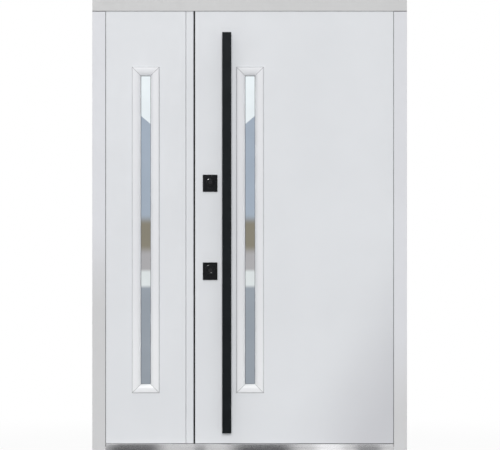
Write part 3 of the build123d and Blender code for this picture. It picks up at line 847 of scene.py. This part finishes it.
card_y = -4.0
card_half = 3.0
card_top = 1.85
notch_x = -0.285
notch_half = 0.585
notch_z = 1.353
card_corners = (
    (-card_half, 0.0),
    (card_half, 0.0),
    (card_half, card_top),
    (notch_x + notch_half, card_top),
    (notch_x, notch_z),
    (notch_x - notch_half, card_top),
    (-card_half, card_top),
)
# Painted reflection: the bands of tone that the windows mirror.
low_tone = (0.37, 0.385, 0.42)
card_bands = (
    (0.68, 0.012, (0.86, 0.85, 0.83)),
    (0.768, 0.012, (0.50, 0.46, 0.46)),
    (0.88, 0.03, (0.30, 0.26, 0.20)),
    (1.05, 0.03, (0.44, 0.48, 0.555)),
)
banded = card_finish("banded_card", low_tone)
banded_glow = banded.node_tree.nodes["Emission"]
card_parts = banded.node_tree.nodes.new("ShaderNodeSeparateXYZ")
banded.node_tree.links.new(place_on_piece(banded), card_parts.inputs["Vector"])
band_tone = low_tone
for height, soft, tone in card_bands:
    over = spread(banded, card_parts.outputs["Z"], 0.0, 1.0, height - soft, height + soft)
    band_tone = drift(banded, over, band_tone, tone)
banded.node_tree.links.new(band_tone, banded_glow.inputs["Color"])
window_card = flat_sheet("window_card", [(x, card_y, z) for x, z in card_corners], banded)
only_in_reflections(window_card)

# Painted reflection: the dark strips that the sill mirrors.
strip_near_y = -0.05
strip_far_y = -0.95
strip_z = 0.001
strip_soft = 0.3
sill_strips = (
    (-0.70, -0.36, 0.12),
    (-0.26, -0.19, 0.5),
    (-0.13, 0.25, 0.12),
    (0.28, 0.45, 1.5),
    (0.46, 0.62, 0.4),
)
for number, (left, right, tone) in enumerate(sill_strips):
    ends = ((left, strip_near_y), (right, strip_near_y), (right, strip_far_y), (left, strip_far_y))
    strip_finish = card_finish(f"sill_card_{number}", (tone, tone, 1.01 * tone), strip_soft)
    strip = flat_sheet(f"sill_card_{number}", [(x, y, strip_z) for x, y in ends], strip_finish)
    only_in_reflections(strip)

# Painted highlight: the bright card that the lock roses mirror as glints.
glint_place = Vector((-2.8, -4.5, 5.6))
glint_half = 0.7
glint_level = 220.0
glint_turn = (-glint_place).to_track_quat("Z", "Y").to_matrix()
glint_corners = [
    glint_place + glint_turn @ Vector((sx * glint_half, sy * glint_half, 0))
    for sx, sy in four_corners
]
glint_card = flat_sheet("glint_card", glint_corners, card_finish("glint_card", (glint_level,) * 3))
only_in_reflections(glint_card)

# Light. A soft lamp high in front and one like it behind, in an even white tent, so that slopes are
# modelled and shadows stay faint. The tent is plain white to the camera and in mirrors.
lamp_level = 1.86
lamp_softness = math.radians(16.0)
lamp_out = 0.985
lamp_rise = 0.17
tent_level = 0.42
tent_colour = (0.985, 0.99, 1.0)
for name, way in (("front_lamp", -1), ("back_lamp", 1)):
    toward = Vector((0.0, way * lamp_out, lamp_rise))
    lamp = bpy.data.lights.new(name, "SUN")
    lamp.energy = lamp_level
    lamp.angle = lamp_softness
    lamp_stand = bpy.data.objects.new(name, lamp)
    lamp_stand.visible_glossy = False
    lamp_stand.rotation_euler = toward.to_track_quat("Z", "Y").to_euler()
    bpy.context.scene.collection.objects.link(lamp_stand)
world = bpy.data.worlds.new("tent")
bpy.context.scene.world = world
world.use_nodes = True
world_tree = world.node_tree
world_tree.nodes.clear()
soft_tent = world_tree.nodes.new("ShaderNodeBackground")
soft_tent.inputs["Color"].default_value = (*tent_colour, 1.0)
soft_tent.inputs["Strength"].default_value = tent_level
white_tent = world_tree.nodes.new("ShaderNodeBackground")
white_tent.inputs["Color"].default_value = (1.0, 1.0, 1.0, 1.0)
tent_mix = world_tree.nodes.new("ShaderNodeMixShader")
world_out = world_tree.nodes.new("ShaderNodeOutputWorld")
world_tree.links.new(seen_directly(world_tree), tent_mix.inputs["Fac"])
world_tree.links.new(soft_tent.outputs["Background"], tent_mix.inputs[1])
world_tree.links.new(white_tent.outputs["Background"], tent_mix.inputs[2])
world_tree.links.new(tent_mix.outputs["Shader"], world_out.inputs["Surface"])

# Camera. Straight in front of the door at half its height, far off, so that upright lines stay
# upright and nothing shows of the reveals.
view_width = 2.252
camera_distance = 18.0
camera_x = 0.0016
camera_z = 1.0189
camera_far = 100.0
sensor_width = 36.0
camera_data = bpy.data.cameras.new("camera")
camera_data.sensor_fit = "HORIZONTAL"
camera_data.sensor_width = sensor_width
camera_data.lens = sensor_width * camera_distance / view_width
camera_data.clip_end = camera_far
camera = bpy.data.objects.new("camera", camera_data)
camera.location = (camera_x, -camera_distance, camera_z)
camera.rotation_euler = (math.pi / 2, 0.0, 0.0)
bpy.context.scene.collection.objects.link(camera)
bpy.context.scene.camera = camera
bpy.context.scene.view_settings.view_transform = "Standard"
